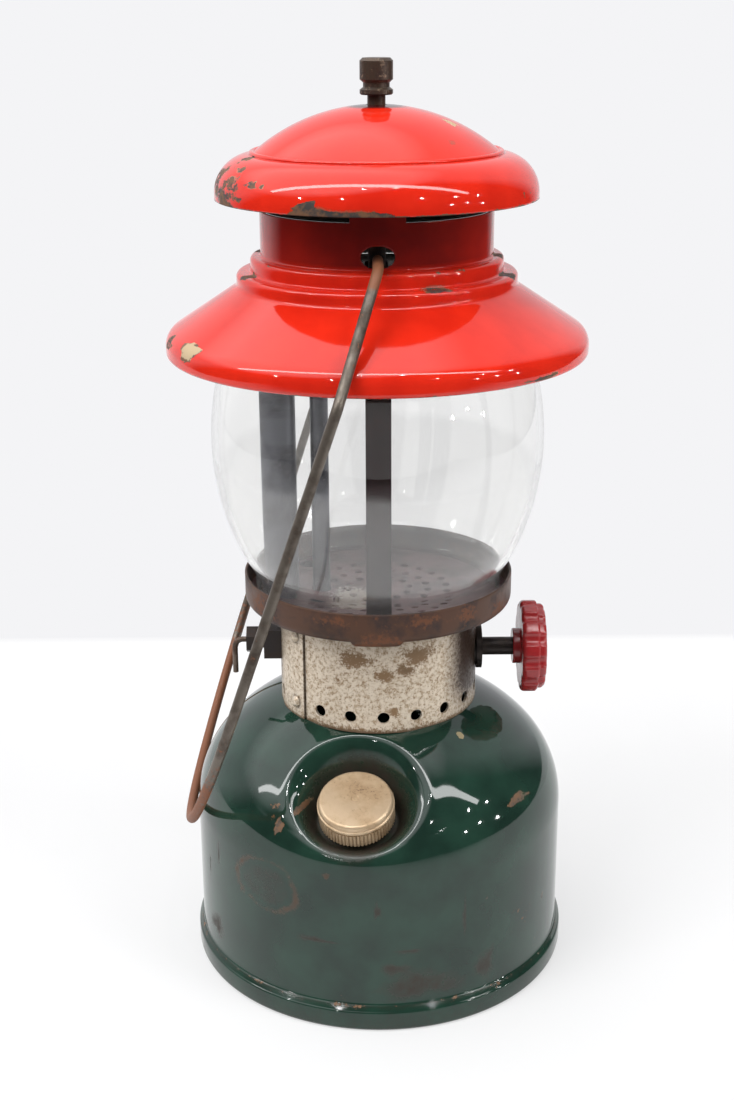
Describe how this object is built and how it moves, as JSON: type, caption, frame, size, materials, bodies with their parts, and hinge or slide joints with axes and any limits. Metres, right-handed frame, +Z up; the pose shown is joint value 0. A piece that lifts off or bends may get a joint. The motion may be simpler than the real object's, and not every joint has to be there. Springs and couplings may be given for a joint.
{
  "type": "pressure lantern",
  "caption": "Single-mantle pressure lantern with a green enamelled tank, glass globe, red enamelled hood and a wire bail that swings over the top.",
  "frame": {"origin": "On the table under the tank's axis, the middle of the foot's rim", "axes": "+Z up along the tank's axis, -Y towards the filler cap, +X towards the control knob"},
  "size_m": [0.145, 0.1634, 0.3254],
  "materials": {
    "tank_enamel": "dark green gloss enamel, scratched, with rust spots",
    "hood_enamel": "fired red enamel, glossy, chipped at the edges",
    "nickel": "worn nickel plate with brown speckle",
    "brass": "dull brass, untouched inside",
    "burnt_steel": "heat-browned sheet steel with rust",
    "blue_steel": "heat-blued dark steel",
    "black_fittings": "blackened brass and steel fittings",
    "wire_steel": "dull grey-brown steel wire, rusty towards the arch",
    "patina_brass": "dark patina with a bright worn rim",
    "clear_glass": "clear blown glass",
    "knob_red": "dark red moulded knob, worn satin",
    "seal_rubber": "black rubber",
    "pump_leather": "oiled brown leather"
  },
  "bodies": {
    "lantern": {"fount_shell": "tank_enamel", "fount_bottom": "tank_enamel", "filler_neck": "nickel", "fount_bush": "brass", "pickup_tube": "brass", "pump_barrel": "brass", "check_valve": "brass", "pump_cap": "nickel", "pump_cap_screws": "nickel", "collar": "nickel", "collar_rivets": "nickel", "gallery_bowl": "burnt_steel", "gallery_floor": "burnt_steel", "valve_body": "brass", "packing_nut": "black_fittings", "eccentric_block": "black_fittings", "lever_gland": "black_fittings", "generator": "blue_steel", "generator_nut": "brass", "burner_frame": "burnt_steel", "frame_rivets": "burnt_steel", "frame_stud": "burnt_steel", "air_tube": "blue_steel", "burner_pipe": "blue_steel", "burner_outlet": "blue_steel", "burner_screen": "blue_steel", "globe": "clear_glass", "vent_hood": "hood_enamel", "vent_cap": "hood_enamel"},
    "bail": {"bail": "wire_steel"},
    "control_valve": {"valve_stem": "black_fittings", "control_knob": "knob_red", "knob_screw": "nickel"},
    "cleaning_lever": {"cleaning_lever": "wire_steel"},
    "needle": {"cleaning_needle": "wire_steel"},
    "ball_nut": {"ball_nut": "patina_brass"},
    "cap_seal": {"filler_seal": "seal_rubber"},
    "filler_cap": {"filler_cap": "nickel"},
    "air_stem": {"air_stem": "brass"},
    "plunger": {"pump_rod": "nickel", "pump_knob": "nickel", "pump_leather": "pump_leather", "leather_washer": "brass"}
  },
  "joints": [
    {"name": "bail_swing", "type": "hinge", "parent": "lantern", "child": "bail", "pos_m": [0, 0, 0.2648], "axis": [0, 1, 0], "range_deg": [0, 322]},
    {"name": "valve_turn", "type": "hinge", "parent": "lantern", "child": "control_valve", "pos_m": [0.0493, 0, 0.11755], "axis": [1, 0, 0], "range_deg": [0, 450]},
    {"name": "lever_turn", "type": "hinge", "parent": "lantern", "child": "cleaning_lever", "pos_m": [-0.0419, 0, 0.12075], "axis": [-1, 0, 0], "range_deg": [0, 180]},
    {"name": "needle_lift", "type": "slide", "parent": "lantern", "child": "needle", "axis": [0, 0, 1], "range_m": [0, 0.003]},
    {"name": "nut_turn", "type": "hinge", "parent": "lantern", "child": "ball_nut", "pos_m": [0, 0, 0.31376], "axis": [0, 0, 1], "range_deg": [0, 1080]},
    {"name": "cap_lift", "type": "slide", "parent": "lantern", "child": "cap_seal", "axis": [-0.0586, -0.37, 0.9272], "range_m": [0, 0.00361]},
    {"name": "cap_turn", "type": "hinge", "parent": "cap_seal", "child": "filler_cap", "pos_m": [-0.00782, -0.04938, 0.0721], "axis": [-0.0586, -0.37, 0.9272], "range_deg": [0, 720]},
    {"name": "stem_turn", "type": "hinge", "parent": "lantern", "child": "air_stem", "pos_m": [0.013, 0.049, 0.08237], "axis": [0, 0.6691, 0.7431], "range_deg": [0, 360]},
    {"name": "pump_stroke", "type": "slide", "parent": "air_stem", "child": "plunger", "axis": [0, 0.6691, 0.7431], "range_m": [0, 0.06]}
  ],
  "couplings": [
    {"joint": "lever_turn", "follows": "needle_lift", "rad_per_m": 1047.2},
    {"joint": "cap_lift", "follows": "cap_turn", "m_per_rad": 0.00028648}
  ]
}
